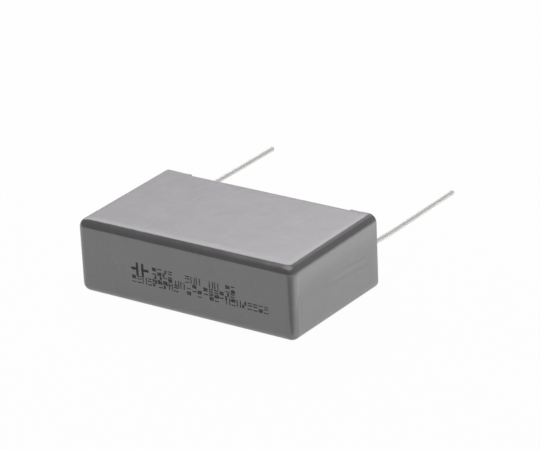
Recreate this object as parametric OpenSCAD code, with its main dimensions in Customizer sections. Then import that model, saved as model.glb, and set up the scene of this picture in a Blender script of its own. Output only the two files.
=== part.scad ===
// Box film capacitor: a flattened roll of metallised film, potted with resin in a
// moulded housing, with two straight leads. It lies on one of its two large sides.
// X runs along the housing, +Y is the way the leads point, and +Z is up.
// The origin is the middle of the side it lies on.

/* [Housing] */
// Length of the housing, along X
box_length = 41.5; // [40.5:0.1:43]
// Thickness of the housing, along Z
box_thickness = 12.8; // [12.5:0.1:14]
// Height of the housing with its feet, along Y
box_height = 24; // [22:0.1:26]
// Radius of the edges round the closed end
end_radius = 1.5; // [1:0.1:2]
// Radius of the corners at the mouth
mouth_radius = 1.2; // [1:0.1:2]
// How far each outer wall leans in, from the mouth to the closed end
outer_draft = 0.1; // [0:0.05:0.2]
// Thickness of the walls at the mouth
mouth_wall = 0.7; // [0.6:0.05:0.75]
// Thickness of the walls and of the floor at the closed end
end_wall = 1; // [0.8:0.05:1.1]
// Radius of the cavity's corners at the closed end
cavity_radius = 0.6; // [0.4:0.1:1]

/* [Feet] */
// How far the two feet stand above the rim
foot_height = 0.5; // [0.3:0.05:0.8]
// How far the left foot runs along the long walls
left_foot_length = 5.9; // [3:0.1:8]
// How far the right foot runs along the long walls
right_foot_length = 4.7; // [3:0.1:8]

/* [Leads] */
// Distance between the two leads' axes
pitch = 37.5; // [37.4:0.05:37.6]
// Diameter of the lead wire
lead_diameter = 0.8; // [0.7:0.05:0.85]
// Length of the left lead above the rim
left_lead_length = 29.5; // [10:0.1:35]
// Length of the right lead above the rim
right_lead_length = 27.2; // [10:0.1:35]
// How far each flattened lead end runs down its contact layer
weld_length = 12.5; // [8:0.5:16]

/* [Film roll] */
// Width of the wound film, along X
film_width = 35.5; // [35:0.1:35.6]
// Thickness of the roll with its cover film
roll_thickness = 10.2; // [9:0.1:10.3]
// Height of the roll with its cover film
roll_height = 19; // [16:0.1:19.4]
// Thickness of the cover film round the roll
cover_thickness = 0.15; // [0.1:0.05:0.3]
// Thickness of the sprayed metal on each end of the roll
spray_thickness = 0.6; // [0.4:0.05:0.6]
// Width of the flat slit that the winding mandrel leaves
core_slit = 0.2; // [0.1:0.05:0.4]

/* [Resin] */
// Depth of the resin's surface below the rim
resin_recess = 0.9; // [0.7:0.05:1.5]
// How far the resin climbs the walls
meniscus_rise = 0.15; // [0.05:0.05:0.15]
// How far from the walls the resin starts to climb
meniscus_width = 0.4; // [0.3:0.05:0.6]
// Height of the resin collar on each lead
collar_height = 0.6; // [0.3:0.1:0.8]

/* [Hidden] */

// Facets of the moulded radii, and of the true circles
mould_fn = 32;
round_fn = 96;

// Levels along Y
seat_y = box_height / 2;
closed_y = -box_height / 2;
rim_y = seat_y - foot_height;
resin_y = rim_y - resin_recess;
floor_y = closed_y + end_wall;

// The middle of the thickness, where the leads and the roll's axis lie
mid_z = box_thickness / 2;

// The roll stands half a millimetre above the cavity's floor
roll_mid_y = floor_y + 0.5 + roll_height / 2;
spray_x = film_width / 2 + spray_thickness;

// The flattened lead end keeps the round wire's section area
flat_thickness = 0.45;
flat_width = 0.8 * lead_diameter ^ 2 / flat_thickness + 0.1;
tip_chamfer = 0.1;

// Margin by which a cutting body passes the face it cuts
past = 1;

module corner_ball(radius) {
    rotate([90, 0, 0])
        rotate_extrude($fn = mould_fn)
            intersection() {
                circle(r = radius, $fn = mould_fn);
                translate([0, -radius]) square([radius, 2 * radius]);
            }
}

// A drafted cup shape with a round-edged closed end: size and radius at the mouth
// and at the end, and the levels of its end, its rim and its top
module cup(mouth_size, mouth_r, end_size, end_r, end_y, top_y) {
    hull()
        for (side = [-1, 1], level = [-1, 1]) {
            translate([
                side * (end_size[0] / 2 - end_r),
                end_y + end_r,
                mid_z + level * (end_size[1] / 2 - end_r)
            ])
                corner_ball(end_r);
            translate([
                side * (mouth_size[0] / 2 - mouth_r),
                rim_y,
                mid_z + level * (mouth_size[1] / 2 - mouth_r)
            ])
                rotate([-90, 0, 0])
                    cylinder(r = mouth_r, h = top_y - rim_y, $fn = mould_fn);
        }
}

module outer_form() {
    lean = 2 * outer_draft;
    cup(
        [box_length, box_thickness], mouth_radius,
        [box_length - lean, box_thickness - lean], end_radius,
        closed_y, seat_y
    );
}

module cavity_form() {
    mouth = 2 * mouth_wall;
    end = 2 * (outer_draft + end_wall);
    cup(
        [box_length - mouth, box_thickness - mouth], mouth_radius - mouth_wall,
        [box_length - end, box_thickness - end], cavity_radius,
        floor_y, seat_y + past
    );
}

// A bar of the given length centred on X, with the given section along Y and Z
module bar(length, low_y, high_y, depth) {
    translate([-length / 2, low_y, mid_z - depth / 2])
        cube([length, high_y - low_y, depth]);
}

// The roll's flattened section, shrunk all round by inset
module roll_section(inset) {
    radius = roll_thickness / 2 - inset;
    straight = roll_height - roll_thickness;
    square([straight, 2 * radius], center = true);
    for (end = [-1, 1])
        translate([end * straight / 2, 0]) circle(r = radius, $fn = round_fn);
}

// A prism along X with a section in Y and Z, from low_x to high_x
module along_roll(low_x, high_x) {
    translate([low_x, roll_mid_y, mid_z])
        rotate([90, 0, 90]) linear_extrude(high_x - low_x) children();
}

module lead_round(length) {
    rotate([-90, 0, 0]) {
        cylinder(d = lead_diameter, h = length - tip_chamfer, $fn = round_fn);
        translate([0, 0, length - tip_chamfer])
            cylinder(
                d1 = lead_diameter, d2 = lead_diameter - 2 * tip_chamfer,
                h = tip_chamfer, $fn = round_fn
            );
    }
}

// The flattened end lies against the sprayed metal, on the given side
module lead_flat(side) {
    low_y = roll_mid_y + roll_height / 2 - weld_length;
    straight = flat_width - flat_thickness;
    translate([side * (spray_x + flat_thickness / 2), low_y, mid_z])
        rotate([-90, 0, 0])
            linear_extrude(resin_y - low_y) {
                square([flat_thickness, straight], center = true);
                for (end = [-1, 1])
                    translate([0, end * straight / 2])
                        circle(d = flat_thickness, $fn = round_fn);
            }
}

module lead(side, length) {
    translate([side * pitch / 2, resin_y, mid_z])
        lead_round(resin_recess + length);
    lead_flat(side);
}

// The resin collar climbs the wire in rings that narrow as a fillet does
module collar(side) {
    rings = 4;
    wire_r = lead_diameter / 2;
    function fillet_r(step) = wire_r + collar_height * (1 - sqrt(1 - (1 - step / rings) ^ 2));
    translate([side * pitch / 2, resin_y, mid_z])
        rotate([-90, 0, 0])
            rotate_extrude($fn = round_fn)
                polygon([
                    [wire_r, 0],
                    for (step = [0 : rings]) [fillet_r(step), collar_height * step / rings]
                ]);
}

// The dish that the resin's surface leaves between the climbing edges
module surface_dish() {
    inset = 2 * (mouth_wall + meniscus_width);
    flare = 2 * meniscus_width;
    thin = 0.01;
    hull() {
        bar(box_length - inset, resin_y, resin_y + thin, box_thickness - inset);
        bar(
            box_length - inset + flare, resin_y + meniscus_rise, rim_y,
            box_thickness - inset + flare
        );
    }
}

module housing() {
    color([0.50, 0.50, 0.51])
        difference() {
            outer_form();
            cavity_form();
            translate([(left_foot_length - right_foot_length) / 2, 0, 0])
                bar(
                    box_length - left_foot_length - right_foot_length,
                    rim_y, seat_y + past, box_thickness + past
                );
        }
}

module resin_fill() {
    color([0.16, 0.16, 0.17])
        difference() {
            union() {
                intersection() {
                    cavity_form();
                    difference() {
                        bar(box_length, closed_y, resin_y + meniscus_rise, box_thickness);
                        surface_dish();
                    }
                }
                for (side = [-1, 1]) collar(side);
            }
            along_roll(-spray_x, spray_x) roll_section(0);
            for (side = [-1, 1]) lead_flat(side);
        }
}

module film_roll() {
    color([0.80, 0.81, 0.83])
        along_roll(-film_width / 2, film_width / 2)
            difference() {
                roll_section(cover_thickness);
                square([roll_height - roll_thickness, core_slit], center = true);
            }
}

module cover_film() {
    color([0.93, 0.93, 0.90])
        along_roll(-film_width / 2, film_width / 2)
            difference() {
                roll_section(0);
                roll_section(cover_thickness);
            }
}

module end_spray(side) {
    low_x = side < 0 ? -spray_x : film_width / 2;
    color([0.62, 0.63, 0.64])
        along_roll(low_x, low_x + spray_thickness) roll_section(0);
}

module lead_left() {
    color([0.78, 0.78, 0.76]) lead(-1, left_lead_length);
}

module lead_right() {
    color([0.78, 0.78, 0.76]) lead(1, right_lead_length);
}

housing();
resin_fill();
film_roll();
cover_film();
end_spray(-1);  // end_spray_left
end_spray(1);  // end_spray_right
lead_left();
lead_right();
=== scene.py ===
"""Finish of a potted box film capacitor that lies on one of its two large sides.

The sections follow the object as it is put together: the moulded housing, the ink on its closed end, the
film roll with its sprayed ends, the leads, and the resin that seals them in. The floor and the lights come
last. Lengths are in millimetres in the frame of the solids, and become metres where a mesh is made.
"""

import math

import bmesh
import bpy
import numpy as np
from mathutils import Matrix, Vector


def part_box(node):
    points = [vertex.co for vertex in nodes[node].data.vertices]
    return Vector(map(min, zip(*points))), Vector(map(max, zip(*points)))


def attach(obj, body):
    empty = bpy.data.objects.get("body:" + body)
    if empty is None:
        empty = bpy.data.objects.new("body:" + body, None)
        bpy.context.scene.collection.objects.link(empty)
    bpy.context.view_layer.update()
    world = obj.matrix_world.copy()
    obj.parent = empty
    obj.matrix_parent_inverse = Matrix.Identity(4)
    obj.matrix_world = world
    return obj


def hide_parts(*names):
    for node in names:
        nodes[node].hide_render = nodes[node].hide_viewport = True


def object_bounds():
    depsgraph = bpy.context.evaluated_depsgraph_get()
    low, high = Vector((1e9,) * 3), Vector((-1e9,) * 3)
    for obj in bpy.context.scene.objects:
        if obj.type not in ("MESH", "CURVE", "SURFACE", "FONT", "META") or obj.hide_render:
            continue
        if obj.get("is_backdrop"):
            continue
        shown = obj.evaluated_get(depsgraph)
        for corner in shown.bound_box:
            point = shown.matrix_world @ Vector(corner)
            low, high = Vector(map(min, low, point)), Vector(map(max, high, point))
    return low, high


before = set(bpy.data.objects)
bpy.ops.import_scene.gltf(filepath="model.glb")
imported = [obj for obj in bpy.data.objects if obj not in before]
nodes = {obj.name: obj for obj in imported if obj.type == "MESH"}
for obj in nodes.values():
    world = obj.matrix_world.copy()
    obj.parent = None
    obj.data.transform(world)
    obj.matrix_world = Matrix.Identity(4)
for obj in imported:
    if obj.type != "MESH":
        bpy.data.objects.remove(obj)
solid_low, solid_high = (list(corner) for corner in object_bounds())


# ---------------------------------------------------------------------------------------------------------
# Camera. It looks down on the closed end from the front right with a long lens, a little tilted. Its place
# is a distance along its own axis from the middle of the mouth's lower edge, which is the point it aims by.

MM = 0.001
CAMERA_AZIMUTH = math.radians(34.994)
CAMERA_ELEVATION = math.radians(23.116)
CAMERA_ROLL = math.radians(-2.664)
CAMERA_DISTANCE = 451.867
CAMERA_LENS, SENSOR_WIDTH = 184.78, 36.0
AIM_RIGHT, AIM_UP = 0.149, 6.386
FOOT_HEIGHT = 0.5


def facing_axes(azimuth, elevation):
    """The right, up and backward directions of a thing that faces the object from an azimuth and elevation.

    The azimuth is counted from -Y towards +X, and up is backward crossed with right.
    """
    back = np.array([
        math.sin(azimuth) * math.cos(elevation), -math.cos(azimuth) * math.cos(elevation), math.sin(elevation)
    ])
    right = np.array([math.cos(azimuth), math.sin(azimuth), 0.0])
    return right, np.cross(back, right), back


def rolled_axes(axes, roll):
    """The same directions after a turn about the backward one."""
    right, up, back = axes
    turned_right = math.cos(roll) * right + math.sin(roll) * up
    turned_up = math.cos(roll) * up - math.sin(roll) * right
    return turned_right, turned_up, back


def stand_at(thing, axes, place):
    """Turns an object to its right, up and backward directions, and stands it at a place in metres."""
    stance = Matrix.Identity(4)
    for row in range(3):
        for column, axis in enumerate(axes):
            stance[row][column] = axis[row]
        stance[row][3] = place[row]
    thing.matrix_world = stance


housing_low, housing_high = (np.array(corner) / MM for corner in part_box("housing"))
mouth_edge = np.array([0.0, housing_high[1] - FOOT_HEIGHT, housing_low[2]])
camera_axes = rolled_axes(facing_axes(CAMERA_AZIMUTH, CAMERA_ELEVATION), CAMERA_ROLL)
right, up, back = camera_axes
eye = mouth_edge + AIM_RIGHT * right + AIM_UP * up + CAMERA_DISTANCE * back

camera = bpy.data.objects.new("camera", bpy.data.cameras.new("camera"))
bpy.context.scene.collection.objects.link(camera)
bpy.context.scene.camera = camera
stand_at(camera, camera_axes, eye * MM)
camera.data.lens = CAMERA_LENS
camera.data.sensor_width = SENSOR_WIDTH
camera.data.clip_start, camera.data.clip_end = 0.01, 20.0


# ---------------------------------------------------------------------------------------------------------
# Housing. One injection moulding in grey reinforced polyester: a cup with a round-edged closed end, walls
# that lean in slightly, and a rim with a foot at each end. Its skin is one closed surface, made of loops
# round the box: out over the closed end, along the walls, over the rim and back down inside to the floor.

MOUTH_RADIUS, END_RADIUS, END_CORNER = 1.4, 1.5, 1.5
OUTER_DRAFT = 0.1
MOUTH_WALL, END_WALL, CAVITY_RADIUS = 0.7, 1.0, 0.6
LEFT_FOOT, RIGHT_FOOT, FOOT_RAMP, FOOT_WEAR = 5.9, 4.7, 0.15, 0.14
RIM_ROUND, RIM_BAND = 0.12, 0.6
# How deep the upper face sinks, how deep the smaller faces do, and how thick the skin that sinks is
FACE_SINK, SMALL_FACE_SINK = 0.04, 0.024
OUTER_SKIN = 0.22
# Points on a corner's arc and along the sides, the places on a foot's ramp, and the least distance of two
ARC_POINTS, LONG_POINTS, SHORT_POINTS = 9, 41, 17
RAMP_SHARES = (-0.3, 0.0, 0.3, 0.6, 1.0, 1.3)
LEAST_STEP = 0.1
# A radius, and a distance, that count as nothing
SHARP, LEVEL = 1e-4, 1e-6

box_length, box_height, box_thickness = housing_high - housing_low
mid_z = (housing_low[2] + housing_high[2]) / 2
closed_y, seat_y = housing_low[1], housing_high[1]
rim_y = seat_y - FOOT_HEIGHT
outer_end_y = closed_y + END_RADIUS
floor_y = closed_y + END_WALL
inner_end_y = floor_y + CAVITY_RADIUS


def blend(low, high, share):
    """The straight line from low to high."""
    return low + (high - low) * share


def smooth_step(x, low, high):
    """0 below low, 1 above high, and 3t^2 - 2t^3 between them."""
    t = np.clip((x - low) / (high - low), 0.0, 1.0)
    return t * t * (3.0 - 2.0 * t)


def side_stations(half, marks):
    """Places along one straight side, from -half to half: even steps, and close ones at each mark's ramp."""
    even = np.linspace(-1.0, 1.0, LONG_POINTS) * half
    close = [mark + np.sign(mark) * FOOT_RAMP * share for mark in marks for share in RAMP_SHARES]
    apart = np.abs(even[:, None] - np.array(close)[None]).min(axis=1) > LEAST_STEP
    return np.sort(np.concatenate([even[apart], close]))


def box_loop(half_x, half_z, radius, long_stations, short_stations):
    """A rectangle with rounded corners, as X and Z, anticlockwise seen from +Y: four sides and four arcs."""
    flat_x, flat_z = half_x - radius, half_z - radius
    arc = np.linspace(0.0, math.pi / 2, ARC_POINTS + 2)[1:-1]
    xs, zs = [], []
    for quarter in range(4):
        sign_x, sign_z = (1 if quarter in (0, 1) else -1), (1 if quarter in (1, 2) else -1)
        stations, flat = (long_stations, flat_x) if quarter % 2 == 0 else (short_stations, flat_z)
        along = (stations * (flat / np.abs(stations).max()))[::sign_x]
        if quarter % 2 == 0:
            xs.append(along)
            zs.append(np.full(len(along), sign_z * half_z))
        else:
            xs.append(np.full(len(along), sign_x * half_x))
            zs.append(along)
        turn = math.pi / 2 * quarter - math.pi / 2 + arc
        xs.append(sign_x * flat_x + radius * np.cos(turn))
        zs.append(sign_z * flat_z + radius * np.sin(turn))
    return np.concatenate(xs), np.concatenate(zs)


def housing_profile():
    """Rows of (level along Y, inset from the box, corner radius, whether the level counts from the rim).

    They run from the middle of the closed end along the walls, over the rim and down to the cavity's floor.
    Each rounding is a quarter circle: level r sin t and inset r (1 - cos t).
    """
    rows = []
    for inset in np.linspace(box_thickness / 2 - OUTER_DRAFT, END_RADIUS, 12)[:-1]:
        rows.append((closed_y, OUTER_DRAFT + inset, SHARP, False))
    for turn in np.linspace(math.pi / 2, 0.0, 11):
        inset = OUTER_DRAFT + END_RADIUS * (1 - math.cos(turn))
        corner = max(END_CORNER * math.cos(turn), SHARP)
        rows.append((outer_end_y - END_RADIUS * math.sin(turn), inset, corner, False))
    for level in np.linspace(outer_end_y, rim_y - RIM_BAND, 17)[1:]:
        share = (level - outer_end_y) / (rim_y - outer_end_y)
        rows.append((level, OUTER_DRAFT * (1 - share), blend(END_CORNER, MOUTH_RADIUS, share), False))
    for turn in np.linspace(0.0, math.pi / 2, 5):
        inset = RIM_ROUND * (1 - math.cos(turn))
        rows.append((-RIM_ROUND * (1 - math.sin(turn)), inset, MOUTH_RADIUS - inset, True))
    for turn in np.linspace(math.pi / 2, 0.0, 5):
        inset = MOUTH_WALL - RIM_ROUND * (1 - math.cos(turn))
        rows.append((-RIM_ROUND * (1 - math.sin(turn)), inset, MOUTH_RADIUS - inset, True))
    for level in np.linspace(rim_y - RIM_BAND, inner_end_y, 9):
        share = (level - inner_end_y) / (rim_y - inner_end_y)
        inset = blend(OUTER_DRAFT + END_WALL, MOUTH_WALL, share)
        rows.append((level, inset, blend(CAVITY_RADIUS, MOUTH_RADIUS - MOUTH_WALL, share), False))
    for turn in np.linspace(0.0, math.pi / 2, 5)[1:]:
        inset = OUTER_DRAFT + END_WALL + CAVITY_RADIUS * (1 - math.cos(turn))
        corner = max(CAVITY_RADIUS * math.cos(turn), SHARP)
        rows.append((inner_end_y - CAVITY_RADIUS * math.sin(turn), inset, corner, False))
    for inset in np.linspace(CAVITY_RADIUS, box_thickness / 2 - OUTER_DRAFT - END_WALL, 4)[1:]:
        rows.append((floor_y, OUTER_DRAFT + END_WALL + inset, SHARP, False))
    return rows


def rim_level(x):
    """The rim's height: a smooth step up to each foot, whose top is worn hollow by sin^2(pi t^0.6)."""
    reach = np.where(x < 0, LEFT_FOOT, RIGHT_FOOT)
    start = box_length / 2 - reach
    along = np.clip((np.abs(x) - start) / (reach - MOUTH_RADIUS), 0.0, 1.0)
    worn = FOOT_WEAR * np.sin(math.pi * along ** 0.6) ** 2
    return rim_y + (FOOT_HEIGHT - worn) * smooth_step(np.abs(x), start, start + FOOT_RAMP)


def housing_surface():
    """Stacks the loops of the profile into arrays of points, one row for each loop."""
    half_x, half_z = box_length / 2, box_thickness / 2
    feet = (LEFT_FOOT - half_x, half_x - RIGHT_FOOT)
    long_stations = side_stations(half_x - MOUTH_RADIUS, feet)
    short_stations = np.linspace(-1.0, 1.0, SHORT_POINTS) * (half_z - MOUTH_RADIUS)
    stack = []
    for level, inset, radius, from_rim in housing_profile():
        x, z = box_loop(half_x - inset, half_z - inset, radius, long_stations, short_stations)
        y = rim_level(x) + level if from_rim else np.full(len(x), level)
        stack.append(np.stack([x, y, z + mid_z], axis=1))
    return np.array(stack)


def face_dome(a, b):
    """1 in the middle of a rectangle that runs from -1 to 1 both ways, 0 on its edges: (1 - a^2)(1 - b^2)."""
    return np.clip(1 - a * a, 0, None) * np.clip(1 - b * b, 0, None)


def sink_faces(points):
    """Moulding shrinkage: the upper face, the two short ones and the closed end each sink by a low dome."""
    x, y, z = points[..., 0], points[..., 1], points[..., 2] - mid_z
    along = (y - (closed_y + seat_y) / 2) / (box_height / 2 - END_RADIUS)
    across_x = x / (box_length / 2 - END_RADIUS)
    across_z = z / (box_thickness / 2 - END_RADIUS)
    on_top = (z > box_thickness / 2 - OUTER_SKIN) * face_dome(across_x, along)
    on_short = (np.abs(x) > box_length / 2 - OUTER_SKIN) * face_dome(across_z, along)
    on_end = (y < closed_y + LEVEL) * face_dome(across_x, across_z)
    sunk = points.copy()
    sunk[..., 2] -= FACE_SINK * on_top
    sunk[..., 0] -= np.sign(x) * SMALL_FACE_SINK * on_short
    sunk[..., 1] += SMALL_FACE_SINK * on_end
    return sunk


def grid_faces(rows, columns, wrap=True):
    """Quads between neighbouring rows and columns of a grid, whose last column may meet its first one."""
    r, c = np.meshgrid(np.arange(rows - 1), np.arange(columns if wrap else columns - 1), indexing="ij")
    c2 = (c + 1) % columns
    corners = [r * columns + c, (r + 1) * columns + c, (r + 1) * columns + c2, r * columns + c2]
    return np.stack(corners, axis=-1).reshape(-1, 4)


def mesh_piece(name, points, faces, sharp_degrees=None, merge=False):
    """Makes an object of points in millimetres and a list of faces, and turns the faces outwards.

    Merge joins points that meet. The surface is smooth up to the sharp angle, and flat-faced without one.
    """
    mesh = bpy.data.meshes.new(name)
    mesh.from_pydata((points.reshape(-1, 3) * MM).tolist(), [], faces)
    shape = bmesh.new()
    shape.from_mesh(mesh)
    if merge:
        bmesh.ops.remove_doubles(shape, verts=shape.verts, dist=2 * SHARP * MM)
        bmesh.ops.dissolve_degenerate(shape, edges=shape.edges, dist=SHARP * MM)
    bmesh.ops.recalc_face_normals(shape, faces=shape.faces)
    shape.to_mesh(mesh)
    shape.free()
    if sharp_degrees is not None:
        mesh.shade_smooth()
        mesh.set_sharp_from_angle(angle=math.radians(sharp_degrees))
    piece = bpy.data.objects.new(name, mesh)
    bpy.context.scene.collection.objects.link(piece)
    return piece


skin = sink_faces(housing_surface())
moulded_housing = mesh_piece("moulded_housing", skin, grid_faces(*skin.shape[:2]).tolist(), 40.0, merge=True)
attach(moulded_housing, "root")
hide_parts("housing")


# Its finish starts with the steps that build a material, and the patterns that several finishes share.

def feed(tree, node, inputs):
    """Links or sets a node's inputs, given by name or number."""
    for key, value in dict(inputs).items():
        if isinstance(value, bpy.types.NodeSocket):
            tree.links.new(value, node.inputs[key])
        else:
            node.inputs[key].default_value = value


def add_node(tree, kind, inputs=(), **settings):
    """Adds a shader node, sets its properties and feeds its inputs."""
    made = tree.nodes.new(kind)
    for key, value in settings.items():
        setattr(made, key, value)
    feed(tree, made, inputs)
    return made


def calc(tree, operation, *terms, clamp=False):
    """One Math node's result."""
    made = add_node(tree, "ShaderNodeMath", dict(enumerate(terms)), operation=operation, use_clamp=clamp)
    return made.outputs[0]


def remap(tree, value, low, high, to_low=0.0, to_high=1.0):
    """A smooth step of value from low to high, put out as to_low to to_high."""
    names = {"Value": value, "From Min": low, "From Max": high, "To Min": to_low, "To Max": to_high}
    return add_node(tree, "ShaderNodeMapRange", names, interpolation_type="SMOOTHSTEP").outputs["Result"]


def mix_colours(tree, share, first, second):
    """The first colour where share is 0, the second where it is 1."""
    return add_node(tree, "ShaderNodeMix", {0: share, 6: first, 7: second}, data_type="RGBA").outputs[2]


def stretched(tree, place, scale, turn=(0, 0, 0)):
    """The coordinates turned and scaled, which draws a pattern out where the scale is small."""
    return add_node(tree, "ShaderNodeMapping", {"Vector": place, "Rotation": turn, "Scale": scale}).outputs[0]


def bumped(tree, height, strength, distance):
    """The normal that a height pattern gives the surface."""
    values = {"Height": height, "Strength": strength, "Distance": distance}
    return add_node(tree, "ShaderNodeBump", values).outputs[0]


def new_group(name, inputs, outputs):
    """A shader node group with named sockets: (name, kind, default) in, (name, kind) out."""
    group = bpy.data.node_groups.new(name, "ShaderNodeTree")
    for label, kind, default in inputs:
        group.interface.new_socket(label, in_out="INPUT", socket_type=kind).default_value = default
    for label, kind in outputs:
        group.interface.new_socket(label, in_out="OUTPUT", socket_type=kind)
    return group, group.nodes.new("NodeGroupInput").outputs, group.nodes.new("NodeGroupOutput")


def use_group(tree, group, inputs):
    """Places a group in a material and hands back its outputs."""
    return add_node(tree, "ShaderNodeGroup", inputs, node_tree=group).outputs


def new_material(name):
    """An empty node material, with its tree, its principled shader and its object coordinates."""
    material = bpy.data.materials.new(name)
    material.use_nodes = True
    tree = material.node_tree
    tree.nodes.clear()
    shader = tree.nodes.new("ShaderNodeBsdfPrincipled")
    output = tree.nodes.new("ShaderNodeOutputMaterial")
    tree.links.new(shader.outputs[0], output.inputs["Surface"])
    place = tree.nodes.new("ShaderNodeTexCoord").outputs["Object"]
    return material, tree, shader, place


FLOAT, VECTOR = "NodeSocketFloat", "NodeSocketVector"


def mottle_group():
    """Slow, cloudy change over a surface: two sizes of noise added, centred on zero."""
    given_sockets = [("Place", VECTOR, (0, 0, 0)), ("Size", FLOAT, 0.004)]
    group, given, out = new_group("mottle", given_sockets, [("Mask", FLOAT)])
    scale = calc(group, "DIVIDE", 1.0, given["Size"])
    broad = add_node(group, "ShaderNodeTexNoise", {"Vector": given["Place"], "Scale": scale, "Detail": 3.0})
    finer = calc(group, "MULTIPLY", scale, 5.0)
    fine = add_node(group, "ShaderNodeTexNoise", {"Vector": given["Place"], "Scale": finer, "Detail": 2.0})
    broad_part = calc(group, "SUBTRACT", broad.outputs["Fac"], 0.5)
    fine_part = calc(group, "MULTIPLY", calc(group, "SUBTRACT", fine.outputs["Fac"], 0.5), 0.35)
    feed(group, out, {"Mask": calc(group, "ADD", broad_part, fine_part)})
    return group


def grain_group():
    """The fine texture that a surface takes from a mould or a tool: two close sizes of noise, as a height."""
    given_sockets = [("Place", VECTOR, (0, 0, 0)), ("Size", FLOAT, 0.0002)]
    group, given, out = new_group("grain", given_sockets, [("Height", FLOAT)])
    scale = calc(group, "DIVIDE", 1.0, given["Size"])
    coarse = add_node(group, "ShaderNodeTexNoise", {"Vector": given["Place"], "Scale": scale, "Detail": 2.0})
    finer = calc(group, "MULTIPLY", scale, 2.3)
    fine = add_node(group, "ShaderNodeTexVoronoi", {"Vector": given["Place"], "Scale": finer})
    height = calc(group, "MULTIPLY_ADD", fine.outputs["Distance"], 0.4, coarse.outputs["Fac"])
    feed(group, out, {"Height": height})
    return group


def rub_group():
    """Long faint rubs along one direction: noise drawn out by Stretch, cut off so that only peaks show."""
    given_sockets = [("Place", VECTOR, (0, 0, 0)), ("Turn", VECTOR, (0, 0, 0)),
                     ("Stretch", VECTOR, (60, 900, 900)), ("Cut", FLOAT, 0.6)]
    group, given, out = new_group("rubs", given_sockets, [("Mask", FLOAT)])
    drawn_out = stretched(group, given["Place"], given["Stretch"], given["Turn"])
    streaks = add_node(group, "ShaderNodeTexNoise", {"Vector": drawn_out, "Scale": 1.0, "Detail": 3.0})
    feed(group, out, {"Mask": remap(group, streaks.outputs["Fac"], given["Cut"], 0.85)})
    return group


def nick_group():
    """One short straight mark: how near a point is to the line from Start to End, 1 on it, 0 past Width."""
    given_sockets = [("Place", VECTOR, (0, 0, 0)), ("Start", VECTOR, (0, 0, 0)), ("End", VECTOR, (0, 0, 0)),
                     ("Width", FLOAT, 0.0001)]
    group, given, out = new_group("nick", given_sockets, [("Mask", FLOAT)])

    def vector(operation, first, second):
        return add_node(group, "ShaderNodeVectorMath", {0: first, 1: second}, operation=operation).outputs

    line = vector("SUBTRACT", given["End"], given["Start"])["Vector"]
    reach = vector("SUBTRACT", given["Place"], given["Start"])["Vector"]
    over_line = vector("DOT_PRODUCT", reach, line)["Value"]
    share = calc(group, "DIVIDE", over_line, vector("DOT_PRODUCT", line, line)["Value"], clamp=True)
    foot = add_node(group, "ShaderNodeVectorMath", {0: line, "Scale": share}, operation="SCALE")
    distance = vector("DISTANCE", reach, foot.outputs["Vector"])["Value"]
    core = calc(group, "MULTIPLY", given["Width"], 0.3)
    feed(group, out, {"Mask": remap(group, distance, given["Width"], core)})
    return group


MOTTLE, GRAIN, RUBS, NICK = mottle_group(), grain_group(), rub_group(), nick_group()

PLASTIC_GREY = (0.156, 0.155, 0.157, 1.0)
# A paler grey for rubs, clouds and pale marks, and for the painted highlight down the near upright edge
PLASTIC_PALE_AND_HIGHLIGHT = (0.26, 0.257, 0.262, 1.0)
PLASTIC_GROOVE = (0.07, 0.07, 0.072, 1.0)
PLASTIC_ROUGHNESS, PLASTIC_IOR, PLASTIC_SPECULAR = 0.17, 1.75, 0.8
RUBS_ALONG = {"Turn": (0, 0, 0.06), "Stretch": (260, 1900, 1900), "Cut": 0.60}
RUBS_ON_SIDES = {"Turn": (0.07, 0, 0), "Stretch": (1500, 110, 1100), "Cut": 0.58}
CLOUD_SIZE, WAVE_SIZE, GRAIN_SIZE, WAVE_HEIGHT = 0.006, 0.0022, 0.00022, 0.00002
# Small pale and dark marks and streaks on the closed end and the right side, and one pale line down the near
# upright edge, which is a painted highlight: start, end, width, whether the mark is pale or dark, and how
# strongly it shows. The dark ones above GROOVE_STRENGTH are cut into the skin.
MARKS_AND_EDGE_HIGHLIGHT = [
    ((-16.4, -12.0, 10.0), (-16.1, -12.0, 9.4), 0.14, "dark", 0.5),
    ((-16.1, -12.0, 9.9), (-15.8, -12.0, 9.2), 0.12, "pale", 0.6),
    ((-13.4, -12.0, 7.5), (-12.5, -12.0, 5.9), 0.30, "pale", 0.20),
    # This pale line down the whole near upright edge is a painted highlight, not a mark.
    ((20.66, -10.45, 11.0), (20.66, -10.45, 1.4), 0.20, "pale", 0.45),
    ((20.66, -10.3, 7.6), (20.66, -10.7, 6.2), 0.10, "dark", 0.8),
    ((20.66, -9.9, 7.6), (20.66, -10.2, 6.8), 0.10, "dark", 0.5),
    ((20.70, -3.4, 6.2), (20.70, 8.7, 5.4), 0.40, "dark", 0.18),
    ((20.70, -1.5, 6.9), (20.70, 8.5, 6.2), 0.45, "pale", 0.16),
    ((20.70, 1.5, 7.4), (20.70, 8.2, 6.9), 0.35, "dark", 0.16),
]
GROOVE_STRENGTH = 0.4


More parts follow.
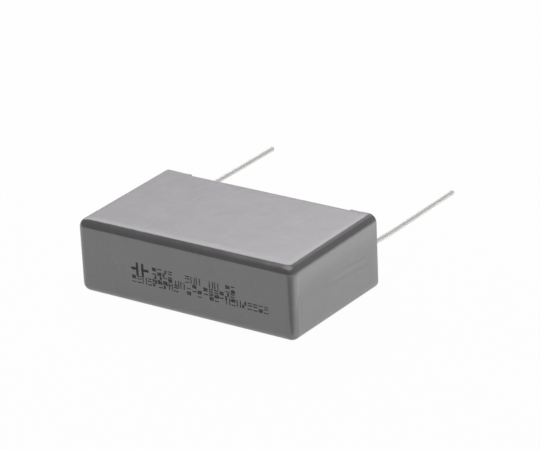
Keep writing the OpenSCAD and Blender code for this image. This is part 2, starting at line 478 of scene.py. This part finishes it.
def plastic_material():
    """Grey moulded plastic: even colour with slow clouds, a satin gloss with rubs, small marks, a painted
    highlight down the near upright edge, and a fine grain.
    """
    material, tree, shader, place = new_material("grey_moulded_plastic")
    cloud = use_group(tree, MOTTLE, {"Place": place, "Size": CLOUD_SIZE})["Mask"]
    rub_long = use_group(tree, RUBS, {"Place": place, **RUBS_ALONG})["Mask"]
    rub_side = use_group(tree, RUBS, {"Place": place, **RUBS_ON_SIDES})["Mask"]
    rub = calc(tree, "MAXIMUM", rub_long, rub_side)
    colour = mix_colours(tree, calc(tree, "MULTIPLY", rub, 0.30), PLASTIC_GREY, PLASTIC_PALE_AND_HIGHLIGHT)
    faded = calc(tree, "MULTIPLY_ADD", cloud, 0.5, 0.06, clamp=True)
    colour = mix_colours(tree, faded, colour, PLASTIC_PALE_AND_HIGHLIGHT)
    groove = None
    # Pale marks lighten the plastic and dark ones darken it. The pale line down the near upright edge is a
    # painted highlight.
    for start, end, width, tone, strength in MARKS_AND_EDGE_HIGHLIGHT:
        ends = {"Start": np.array(start) * MM, "End": np.array(end) * MM}
        mark = use_group(tree, NICK, {"Place": place, "Width": width * MM, **ends})["Mask"]
        shown = calc(tree, "MULTIPLY", mark, strength)
        colour = mix_colours(tree, shown, colour, PLASTIC_PALE_AND_HIGHLIGHT if tone == "pale" else PLASTIC_GROOVE)
        if tone == "dark" and strength > GROOVE_STRENGTH:
            groove = mark if groove is None else calc(tree, "MAXIMUM", groove, mark)
    rough = calc(tree, "MULTIPLY_ADD", cloud, 0.10, PLASTIC_ROUGHNESS)
    grain = use_group(tree, GRAIN, {"Place": place, "Size": GRAIN_SIZE})["Height"]
    waves = use_group(tree, MOTTLE, {"Place": place, "Size": WAVE_SIZE})["Mask"]
    height = calc(tree, "MULTIPLY_ADD", grain, 0.025, waves)
    height = calc(tree, "SUBTRACT", height, calc(tree, "MULTIPLY", groove, 0.5))
    feed(tree, shader, {
        "Base Color": colour, "Roughness": calc(tree, "MULTIPLY_ADD", rub, 0.06, rough), "IOR": PLASTIC_IOR,
        "Specular IOR Level": PLASTIC_SPECULAR, "Normal": bumped(tree, height, 1.0, WAVE_HEIGHT)
    })
    return material


def cover_solid(node, material):
    """Gives a solid from the frame its finish."""
    nodes[node].data.materials.clear()
    nodes[node].data.materials.append(material)


GREY_PLASTIC = plastic_material()
moulded_housing.data.materials.append(GREY_PLASTIC)
cover_solid("housing", GREY_PLASTIC)


# ---------------------------------------------------------------------------------------------------------
# Ink. Three rows of ink-jet marks and one larger sign on the closed end. They are plain bars of dots and the
# drawing symbol of a capacitor, two plates with their leads, and they spell nothing. Each dot is a low dome.

# For each row its height and the ends of its words, along X
INK_ROWS = (
    (6.80, ((-5.9, -1.8), (0.5, 3.5), (5.0, 6.8), (8.1, 10.1))),
    (5.50, ((-5.9, -2.5), (-1.5, 0.1), (1.8, 2.6), (3.9, 10.0))),
    (4.75, ((-9.9, -0.7), (0.7, 1.5), (2.75, 3.6), (5.0, 6.8), (8.1, 15.6))),
)
DOT_PITCH, DOT_RADIUS, DOT_RISE, DOT_SINK = 0.2, 0.142, 0.014, 0.02
DOT_SIDES, DOT_TOP_SHARE = 8, 0.72
DOT_DRIFT, DOT_SMALLEST, DOT_LARGEST = 0.012, 0.86, 1.12
# Each dot stays this far inside the level of the closed end's edges.
DOT_CLEARANCE = 0.001
MARK_WIDE, MARK_HIGH, MARK_STEP = 4, 6, 1.02
SIGN_X, SIGN_Z, SIGN_PITCH = -8.4, 6.5, DOT_PITCH * 0.6
PLATE_HALF, PLATE_X, PLATE_DOTS = 1.05, 0.4, 3
SIGN_LEAD_START, SIGN_LEAD_END = 0.75, 1.6


def mark_dots(pattern):
    """One mark's dots as columns and rows: two posts, three rules, two steps, or a low or high block."""
    column, row = np.meshgrid(np.arange(MARK_WIDE), np.arange(MARK_HIGH), indexing="ij")
    middle = MARK_HIGH // 2
    posts = (column == 0) | (column == MARK_WIDE - 1)
    rules = (row == 0) | (row == middle) | (row == MARK_HIGH - 1)
    steps = (column < MARK_WIDE // 2) == (row < middle)
    low_block, high_block = (row < middle) | (row == MARK_HIGH - 1), (row >= middle) | (row == 0)
    chosen = (posts, rules, steps, low_block, high_block)[pattern]
    return np.stack([column[chosen], row[chosen]], axis=-1)


def row_dots(words, row_z, seed):
    """Dots of one row: each word is filled with equally spaced marks whose patterns are drawn at random."""
    draw = np.random.default_rng(seed)
    dots = []
    for start_x, end_x in words:
        count = max(1, round((end_x - start_x + DOT_PITCH) / MARK_STEP))
        for place in start_x + np.arange(count) * MARK_STEP:
            corner = (place, row_z - (MARK_HIGH - 1) / 2 * DOT_PITCH)
            dots.append(mark_dots(int(draw.integers(0, 5))) * DOT_PITCH + corner)
    return np.concatenate(dots)


def symbol_dots(mid_x, sign_z):
    """The capacitor symbol in closer dots: two upright plates, and a lead out of the middle of each."""
    upright = np.arange(-PLATE_HALF, PLATE_HALF + 0.01, SIGN_PITCH)
    lead = np.arange(SIGN_LEAD_START, SIGN_LEAD_END, SIGN_PITCH)
    plate = np.meshgrid(PLATE_X + SIGN_PITCH * np.arange(PLATE_DOTS), upright, indexing="ij")
    wire = np.meshgrid(lead, (-SIGN_PITCH, 0.0, SIGN_PITCH), indexing="ij")
    half_sign = np.concatenate([np.stack(part, axis=-1).reshape(-1, 2) for part in (plate, wire)])
    return np.concatenate([half_sign, half_sign * (-1, 1)]) + (mid_x, sign_z)


def dot_domes(centres, seed):
    """Points and faces of a low dome at each centre on the closed end, each a little off its place and size.

    A dome is two rings of DOT_SIDES points, the wider one sunk in the plastic, with a cap on each.
    """
    draw = np.random.default_rng(seed)
    centres = centres + draw.normal(0.0, DOT_DRIFT, centres.shape)
    size = DOT_RADIUS * draw.uniform(DOT_SMALLEST, DOT_LARGEST, len(centres))
    turn = np.linspace(0, 2 * math.pi, DOT_SIDES, endpoint=False)
    ring = np.stack([np.cos(turn), np.sin(turn)], axis=1)
    across_x = centres[:, 0] / (box_length / 2 - END_RADIUS)
    across_z = (centres[:, 1] - mid_z) / (box_thickness / 2 - END_RADIUS)
    face = closed_y + SMALL_FACE_SINK * face_dome(across_x, across_z)
    rings = []
    for share, lift in ((1.0, DOT_SINK), (DOT_TOP_SHARE, -DOT_RISE)):
        flat = centres[:, None, :] + ring[None] * (size * share)[:, None, None]
        level = np.maximum(face + lift, closed_y + DOT_CLEARANCE)
        rings.append(np.stack([flat[..., 0], np.repeat(level[:, None], DOT_SIDES, 1), flat[..., 1]], axis=-1))
    start = np.arange(len(centres))[:, None, None] * 2 * DOT_SIDES
    step = np.arange(DOT_SIDES)
    after = (step + 1) % DOT_SIDES
    side = np.stack([step, after, after + DOT_SIDES, step + DOT_SIDES], axis=-1)[None]
    sides = (start + side).reshape(-1, 4).tolist()
    caps = [cap for level in (0, 1) for cap in (start[:, 0] + level * DOT_SIDES + step[None]).tolist()]
    return np.stack(rings, axis=1), sides + caps


printed = [row_dots(words, row_z, seed) for seed, (row_z, words) in enumerate(INK_ROWS)]
dot_centres = np.concatenate(printed + [symbol_dots(SIGN_X, SIGN_Z)])
ink_marks = mesh_piece("ink_marks", *dot_domes(dot_centres, seed=11))
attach(ink_marks, "root")


def ink_material():
    """Dried black ink: nearly black, thin in places so that grey shows through, and matt."""
    material, tree, shader, place = new_material("black_ink")
    cloud = use_group(tree, MOTTLE, {"Place": place, "Size": 0.0008})["Mask"]
    thin = calc(tree, "MULTIPLY_ADD", cloud, 1.0, 0.25, clamp=True)
    feed(tree, shader, {
        "Base Color": mix_colours(tree, thin, (0.018, 0.018, 0.019, 1.0), (0.06, 0.06, 0.062, 1.0)),
        "Roughness": calc(tree, "MULTIPLY_ADD", cloud, 0.2, 0.6)
    })
    return material


ink_marks.data.materials.append(ink_material())


# ---------------------------------------------------------------------------------------------------------
# Film roll. Metallised films wound flat, with turns of plain film round them and sprayed zinc on both ends.
# The resin hides them all, so the solids keep their own shape and only take their finish here.

def film_material(name, pale, dark, rough, metallic):
    """Wound film: fine lines along the turns, round the roll's axis, with a soft shine."""
    material, tree, shader, place = new_material(name)
    along_turns = stretched(tree, place, (9000, 60, 60))
    lines = add_node(tree, "ShaderNodeTexNoise", {"Vector": along_turns, "Scale": 1.0, "Detail": 2.0})
    share = remap(tree, lines.outputs["Fac"], 0.35, 0.7)
    feed(tree, shader, {
        "Base Color": mix_colours(tree, share, pale, dark), "Metallic": metallic,
        "Roughness": calc(tree, "MULTIPLY_ADD", share, 0.15, rough),
        "Normal": bumped(tree, lines.outputs["Fac"], 0.2, 0.00002)
    })
    return material


def zinc_material():
    """Sprayed zinc: a dull, grainy grey metal of fused droplets."""
    material, tree, shader, place = new_material("sprayed_zinc")
    cloud = use_group(tree, MOTTLE, {"Place": place, "Size": 0.0012})["Mask"]
    grain = use_group(tree, GRAIN, {"Place": place, "Size": 0.00016})["Height"]
    worn = calc(tree, "ADD", cloud, 0.5, clamp=True)
    feed(tree, shader, {
        "Base Color": mix_colours(tree, worn, (0.30, 0.31, 0.33, 1), (0.46, 0.47, 0.48, 1)), "Metallic": 0.85,
        "Roughness": calc(tree, "MULTIPLY_ADD", cloud, 0.2, 0.65), "Normal": bumped(tree, grain, 0.9, 0.00006)
    })
    return material


cover_solid("film_roll", film_material(
    "metallised_film", pale=(0.62, 0.63, 0.66, 1), dark=(0.50, 0.51, 0.54, 1), rough=0.18, metallic=0.8))
cover_solid("cover_film", film_material(
    "plain_film", pale=(0.84, 0.84, 0.80, 1), dark=(0.76, 0.76, 0.71, 1), rough=0.22, metallic=0.0))
SPRAYED_ZINC = zinc_material()
for node in ("end_spray_left", "end_spray_right"):
    cover_solid(node, SPRAYED_ZINC)


# ---------------------------------------------------------------------------------------------------------
# Leads. Two straight copper wires, drawn round and hot-tinned, each cut off square. Inside the resin the wire
# is pressed flat and welded to the sprayed zinc. A wire is one section carried along its length.

WIRE_RADIUS = 0.4
FLAT_THICKNESS, FLAT_WIDTH = 0.45, 1.238
RESIN_RECESS = 0.9
SECTION_POINTS = 40
# The length over which the wire turns from flat to round, and how it bends and wavers outside the resin
ROUNDING, BEND_END, BEND_FADE, WAVER = 0.2, 1.5, 4.5, 0.05
# How far back from the tip its last sections lie, and their share of the wire's radius
TIP_BACK, TIP_SHARE = (0.2, 0.1, 0.05, 0.015), (1.0, 0.97, 0.9, 0.78)
TIP_SWELL = 0.07
# Each lead's node, its side along X, the seed of its unevenness, and how far it rises at its root
LEADS = (("lead_left", -1, 3, 0.08), ("lead_right", 1, 5, 0.38))

resin_y = rim_y - RESIN_RECESS


def wire_section(flatness, swell):
    """A closed outline in X and Z: a circle at flatness 0, a flat bar with round edges at 1."""
    turn = np.linspace(0, 2 * math.pi, SECTION_POINTS, endpoint=False)
    circle = WIRE_RADIUS * np.stack([np.cos(turn), np.sin(turn)], axis=-1)
    bar = FLAT_THICKNESS / 2 * np.stack([np.cos(turn), np.sin(turn)], axis=-1)
    bar[:, 1] += (FLAT_WIDTH - FLAT_THICKNESS) / 2 * np.clip(np.sin(turn) * 3.0, -1, 1)
    flatness = flatness[:, None, None]
    return (circle[None] * (1 - flatness) + bar[None] * flatness) * swell[:, None, None]


def wire_surface(node, side, seed, lift):
    """The wire's sections from its buried end to its tip: flat, then round, a little uneven, and cut off.

    Past the resin the wire rises by lift within three millimetres, and settles back as e^(-distance / 4.5).
    Its thickness and its line waver as sines along Y that grow from nothing at the feet to the tip.
    """
    low, high = (np.array(corner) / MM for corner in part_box(node))
    draw = np.random.default_rng(seed)
    buried = np.linspace(low[1] + 0.05, resin_y - 0.25, 10)
    change = np.linspace(resin_y - ROUNDING, resin_y, 5)
    shown = np.linspace(resin_y + 0.3, high[1] - 0.35, 90)
    y = np.concatenate([[low[1]], buried, change, shown, high[1] - np.array(TIP_BACK)])
    flatness = 1 - smooth_step(y, resin_y - ROUNDING, resin_y)
    phase = draw.uniform(0, 2 * math.pi, 4)
    free = np.clip((y - seat_y) / (high[1] - seat_y), 0, 1)
    swell = 1 + 0.012 * np.sin(y * 1.3 + phase[0]) * free + 0.01 * np.sin(y * 3.7 + phase[1]) * free
    swell = swell * (1 + TIP_SWELL * smooth_step(y, high[1] - 1.4, high[1] - 0.6))
    swell[0] = 0.9
    swell[-4:] *= np.array(TIP_SHARE)
    inner_x = low[0] if side > 0 else high[0]
    mid_x = inner_x + side * blend(WIRE_RADIUS, FLAT_THICKNESS / 2, flatness)
    mid_x = mid_x + WAVER * np.sin(y * 0.16 + phase[2]) * free
    bend_y = seat_y + BEND_END
    bend = smooth_step(y, resin_y, bend_y) * np.exp(-np.clip(y - bend_y, 0, None) / BEND_FADE)
    wire_z = mid_z + WAVER * np.sin(y * 0.21 + phase[3]) * free + lift * bend
    outline = wire_section(flatness, swell)
    points = np.empty((len(y), SECTION_POINTS, 3))
    points[..., 0] = mid_x[:, None] + outline[..., 0]
    points[..., 1] = y[:, None]
    points[..., 2] = wire_z[:, None] + outline[..., 1]
    return points


def capped_tube(points):
    """A tube through the sections, closed at each end by a fan to the middle of its last section."""
    rows, columns = points.shape[:2]
    middles = points[[0, -1]].mean(axis=1)
    around = np.arange(columns)
    after = (around + 1) % columns
    first = np.stack([np.full(columns, rows * columns), after, around], axis=1)
    top = (rows - 1) * columns
    last = np.stack([np.full(columns, rows * columns + 1), top + around, top + after], axis=1)
    faces = grid_faces(rows, columns).tolist() + first.tolist() + last.tolist()
    return np.concatenate([points.reshape(-1, 3), middles]), faces


def tin_material():
    """Hot-dipped tin: a pale soft shine, greyer in long patches, with a few dark specks of dried flux."""
    material, tree, shader, place = new_material("hot_tinned_wire")
    drawn_out = stretched(tree, place, (0.5, 0.2, 0.5))
    cloud = use_group(tree, MOTTLE, {"Place": drawn_out, "Size": 0.001})["Mask"]
    patch = calc(tree, "MULTIPLY_ADD", cloud, 1.2, 0.35, clamp=True)
    colour = mix_colours(tree, patch, (0.92, 0.92, 0.885, 1), (0.84, 0.84, 0.81, 1))
    specks = add_node(tree, "ShaderNodeTexNoise", {"Vector": place, "Scale": 1500.0, "Detail": 2.0})
    few = use_group(tree, MOTTLE, {"Place": place, "Size": 0.004})["Mask"]
    speck = remap(tree, specks.outputs["Fac"], 0.62, 0.70)
    speck = calc(tree, "MULTIPLY", speck, remap(tree, few, 0.05, 0.22))
    feed(tree, shader, {
        "Base Color": mix_colours(tree, speck, colour, (0.16, 0.16, 0.15, 1)), "Metallic": 0.3,
        "Roughness": calc(tree, "MULTIPLY_ADD", patch, 0.14, 0.40),
        "Normal": bumped(tree, cloud, 0.3, 0.00003)
    })
    return material


TINNED_WIRE = tin_material()
for node, side, seed, lift in LEADS:
    wire = mesh_piece("tinned_" + node, *capped_tube(wire_surface(node, side, seed, lift)), 50.0)
    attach(wire, "root")
    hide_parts(node)
    wire.data.materials.append(TINNED_WIRE)
    cover_solid(node, TINNED_WIRE)


# ---------------------------------------------------------------------------------------------------------
# Resin. Filled epoxy, poured into the mouth round the roll and cured. Its surface lies below the rim, climbs
# the walls and the leads, and is slightly wavy. The solid fills the box, and a thin skin gives its surface.

RESIN_CLIMB, RESIN_FALL = 0.22, 0.2025
COLLAR_HEIGHT, COLLAR_REACH, COLLAR_POWER = 0.6, 0.75, 2.6
SKIN_LIFT, SKIN_DEPTH, SKIN_OVERLAP = 0.02, 0.3, 0.06
SLOW_WAVE, QUICK_WAVE = 0.035, 0.02
# Where the grid's even middle ends and its closer part begins, along X and Z, and how far from a long wall
MIDDLE_X, LEADS_X = 17.2, 17.35
LEADS_Z, OUTER_Z = 1.5, 1.7
WALL_BAND_START, WALL_BAND = 1.0, 0.85

lead_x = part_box("lead_right")[0][0] / MM + WIRE_RADIUS


def resin_height(x, z):
    """Height over the resin's level: a climb of e^(-distance / fall) at the walls, collars and slow waves."""
    to_short, to_long = box_length / 2 - MOUTH_WALL - np.abs(x), box_thickness / 2 - MOUTH_WALL - np.abs(z)
    from_wall = np.minimum(to_short, to_long)
    climb = RESIN_CLIMB * np.exp(-np.clip(from_wall, 0, None) / RESIN_FALL)
    waves = SLOW_WAVE * np.sin(0.31 * x + 0.6) * np.cos(0.5 * z) + QUICK_WAVE * np.sin(0.83 * x - 0.9 * z)
    height = SKIN_LIFT + climb + waves * smooth_step(from_wall, 0, 1.5)
    for side in (-1, 1):
        from_wire = np.clip(np.hypot(x - side * lead_x, z) - WIRE_RADIUS, 0, None)
        collar = COLLAR_HEIGHT * np.clip(1 - from_wire / COLLAR_REACH, 0, 1) ** COLLAR_POWER
        height = np.maximum(height, collar + SKIN_LIFT)
    return height


def resin_skin():
    """A closed slab: the resin's surface on a grid that is closer near the leads, and a flat back below."""
    reach_x = box_length / 2 - MOUTH_WALL + SKIN_OVERLAP
    reach_z = box_thickness / 2 - MOUTH_WALL + SKIN_OVERLAP
    near_leads = np.linspace(LEADS_X, reach_x, 34)
    x = np.concatenate([-near_leads[::-1], np.linspace(-MIDDLE_X, MIDDLE_X, 110), near_leads])
    outer_z = np.linspace(OUTER_Z, reach_z - WALL_BAND_START, 10)
    outer_z = np.concatenate([outer_z, np.linspace(reach_z - WALL_BAND, reach_z, 8)])
    z = np.concatenate([-outer_z[::-1], np.linspace(-LEADS_Z, LEADS_Z, 31), outer_z])
    gx, gz = np.meshgrid(x, z, indexing="ij")
    top = np.stack([gx, resin_y + resin_height(gx, gz), gz + mid_z], axis=-1)
    bottom = np.stack([gx, np.full(gx.shape, resin_y - SKIN_DEPTH), gz + mid_z], axis=-1)
    rows, columns = gx.shape
    sheet = grid_faces(rows, columns, wrap=False)
    count = rows * columns
    edge = np.concatenate([np.arange(columns), columns * np.arange(1, rows) + columns - 1,
                           count - 2 - np.arange(columns - 1), columns * np.arange(rows - 2, 0, -1)])
    after = np.roll(edge, -1)
    wall = np.stack([edge, after, after + count, edge + count], axis=-1)
    faces = np.concatenate([sheet, sheet[:, ::-1] + count, wall])
    return np.concatenate([top.reshape(-1, 3), bottom.reshape(-1, 3)]), faces.tolist()


resin_surface = mesh_piece("resin_surface", *resin_skin(), 60.0, merge=True)
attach(resin_surface, "root")


def resin_material():
    """Dark filled epoxy: nearly black, glossy where it flowed clean, duller in patches, with small pits."""
    material, tree, shader, place = new_material("dark_potting_resin")
    cloud = use_group(tree, MOTTLE, {"Place": place, "Size": 0.003})["Mask"]
    grain = use_group(tree, GRAIN, {"Place": place, "Size": 0.0005})["Height"]
    pits = add_node(tree, "ShaderNodeTexVoronoi", {"Vector": place, "Scale": 420.0})
    pit = remap(tree, pits.outputs["Distance"], 0.16, 0.04)
    dusty = calc(tree, "MULTIPLY_ADD", cloud, 1.2, 0.4, clamp=True)
    height = calc(tree, "SUBTRACT", calc(tree, "MULTIPLY", grain, 0.25), pit)
    feed(tree, shader, {
        "Base Color": mix_colours(tree, dusty, (0.028, 0.028, 0.030, 1), (0.052, 0.051, 0.050, 1)),
        "Roughness": calc(tree, "MULTIPLY_ADD", cloud, 0.35, 0.30),
        "Normal": bumped(tree, height, 0.4, 0.00008)
    })
    return material


DARK_RESIN = resin_material()
resin_surface.data.materials.append(DARK_RESIN)
cover_solid("resin_fill", DARK_RESIN)


# ---------------------------------------------------------------------------------------------------------
# Studio. A plain pale floor runs into a white surround. Three soft boxes stand behind the object and one
# hangs over it. Two more fill in from the sides, and cards on the floor shape what the plastic mirrors.

WHITE = (1, 1, 1, 1)
FLOOR_REACH, FLOOR_WHITE, FLOOR_GLOW = 1.5, (0.9, 0.9, 0.9, 1.0), 0.975
FLOOR_MIRRORED, SURROUND_MIRRORED = 0.9, 0.2
CARD_LIFT, CARD_LENGTH, GREY_CARD_LEVEL = 0.0002, 0.08, 0.5
# The pale card lies in three strips off the short side: from, to, and how bright each is.
PALE_CARD = {"near": (0.0, 0.011, 1.20), "middle": (0.011, 0.028, 1.55), "far": (0.028, 0.06, 1.15)}
PLAIN_LIGHT, COOL_LIGHT = (1.0, 1.0, 1.0), (1.0, 0.955, 1.015)
# Each soft box: azimuth and elevation in degrees, distance, width, height, brightness, and its light's tint
SOFT_BOXES = {
    "light_behind_low": (222.0, 17.0, 0.40, 0.34, 0.14, 1.17, COOL_LIGHT),
    "light_behind_high": (228.5, 37.5, 0.40, 0.32, 0.15, 2.18, COOL_LIGHT),
    "light_behind": (185.0, 38.0, 0.40, 0.22, 0.18, 0.45, PLAIN_LIGHT),
    "light_over": (0.0, 88.0, 0.70, 0.80, 0.80, 1.2, PLAIN_LIGHT),
    "light_left": (297.0, 12.0, 0.70, 0.30, 0.30, 2.3, PLAIN_LIGHT),
    "light_right": (100.0, 5.0, 0.70, 0.40, 0.20, 7.5, PLAIN_LIGHT),
}
# The two fills at the sides light the object but don't show in its gloss.
NOT_MIRRORED = ("light_left", "light_right")

object_middle = (np.array(solid_low) + np.array(solid_high)) / 2


def seen_or_mirrored(tree, seen_level, mirrored_level):
    """One level for a ray from the camera, and another for one in a mirror or through glass."""
    path = tree.nodes.new("ShaderNodeLightPath").outputs
    mirrored = calc(tree, "MAXIMUM", path["Is Glossy Ray"], path["Is Transmission Ray"])
    seen = calc(tree, "MULTIPLY", path["Is Camera Ray"], seen_level)
    return calc(tree, "MAXIMUM", seen, calc(tree, "MULTIPLY", mirrored, mirrored_level))


def stage_finish(name):
    """An empty material for a part of the studio, which casts no sampled light of its own, and its tree."""
    finish = bpy.data.materials.new(name)
    finish.use_nodes = True
    finish.node_tree.nodes.clear()
    finish.cycles.emission_sampling = "NONE"
    return finish, finish.node_tree


def stage_sheet(name, corners, lift, finish):
    """A flat sheet, at a lift over the level that the object lies on, as a part of the studio."""
    made = bpy.data.objects.new(name, bpy.data.meshes.new(name))
    made.data.from_pydata([(x, y, solid_low[2] + lift) for x, y in corners], [], [tuple(range(len(corners)))])
    bpy.context.scene.collection.objects.link(made)
    made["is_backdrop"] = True
    made.data.materials.append(finish)
    return made


def rectangle(low_x, high_x, low_y, high_y):
    """The four corners, anticlockwise seen from above."""
    return [(low_x, low_y), (high_x, low_y), (high_x, high_y), (low_x, high_y)]


floor_finish, tree = stage_finish("pale_floor")
pale = add_node(tree, "ShaderNodeBsdfDiffuse", {"Color": FLOOR_WHITE})
glow = add_node(tree, "ShaderNodeEmission", {"Color": WHITE, "Strength": 1.0})
glow_share = seen_or_mirrored(tree, FLOOR_GLOW, FLOOR_MIRRORED)
mixed = add_node(tree, "ShaderNodeMixShader", {0: glow_share, 1: pale.outputs[0], 2: glow.outputs[0]})
add_node(tree, "ShaderNodeOutputMaterial", {"Surface": mixed.outputs[0]})
floor_corners = rectangle(-FLOOR_REACH, FLOOR_REACH, -FLOOR_REACH, FLOOR_REACH)
stage_sheet("floor", floor_corners, 0.0, floor_finish)


def floor_card(name, corners, level):
    """A flat card on the floor, as bright as level, that only mirrors see."""
    finish, tree = stage_finish(name)
    shine = add_node(tree, "ShaderNodeEmission", {"Color": WHITE, "Strength": level})
    add_node(tree, "ShaderNodeOutputMaterial", {"Surface": shine.outputs[0]})
    card = stage_sheet(name, corners, CARD_LIFT, finish)
    card.visible_camera = card.visible_diffuse = card.visible_shadow = False


# The grey card off the near corner keeps that upright edge dark. The pale one makes the short side shine.
near_x, near_y = solid_high[0] + 0.0004, solid_low[1] - 0.001
grey_corners = [(near_x, near_y), (near_x, near_y - 0.05), (near_x + 0.05, near_y - 0.03)]
floor_card("grey_card", grey_corners, GREY_CARD_LEVEL)
for strip, (start, end, level) in PALE_CARD.items():
    strip_corners = rectangle(near_x + start, near_x + end, near_y, near_y + CARD_LENGTH)
    floor_card("pale_card_" + strip, strip_corners, level)


def soft_box(name, azimuth, elevation, distance, width, height, brightness, tint):
    """An area lamp that faces the object. Brightness is its surface's, where 1 is white; its watts follow."""
    lamp = bpy.data.lights.new(name, "AREA")
    lamp.shape = "RECTANGLE"
    lamp.size, lamp.size_y = width, height
    lamp.energy = brightness * math.pi * width * height
    lamp.color = tint
    box = bpy.data.objects.new(name, lamp)
    bpy.context.scene.collection.objects.link(box)
    axes = facing_axes(math.radians(azimuth), math.radians(elevation))
    stand_at(box, axes, object_middle + axes[2] * distance)
    box.visible_camera = False
    box.visible_glossy = name not in NOT_MIRRORED


for name, settings in SOFT_BOXES.items():
    soft_box(name, *settings)

world = bpy.data.worlds.new("surround")
world.cycles.sampling_method = "NONE"
bpy.context.scene.world = world
world.use_nodes = True
tree = world.node_tree
tree.nodes.clear()
strength = seen_or_mirrored(tree, 1.0, SURROUND_MIRRORED)
surround = add_node(tree, "ShaderNodeBackground", {"Color": WHITE, "Strength": strength})
add_node(tree, "ShaderNodeOutputWorld", {"Surface": surround.outputs[0]})

bpy.context.scene.view_settings.view_transform = "Standard"
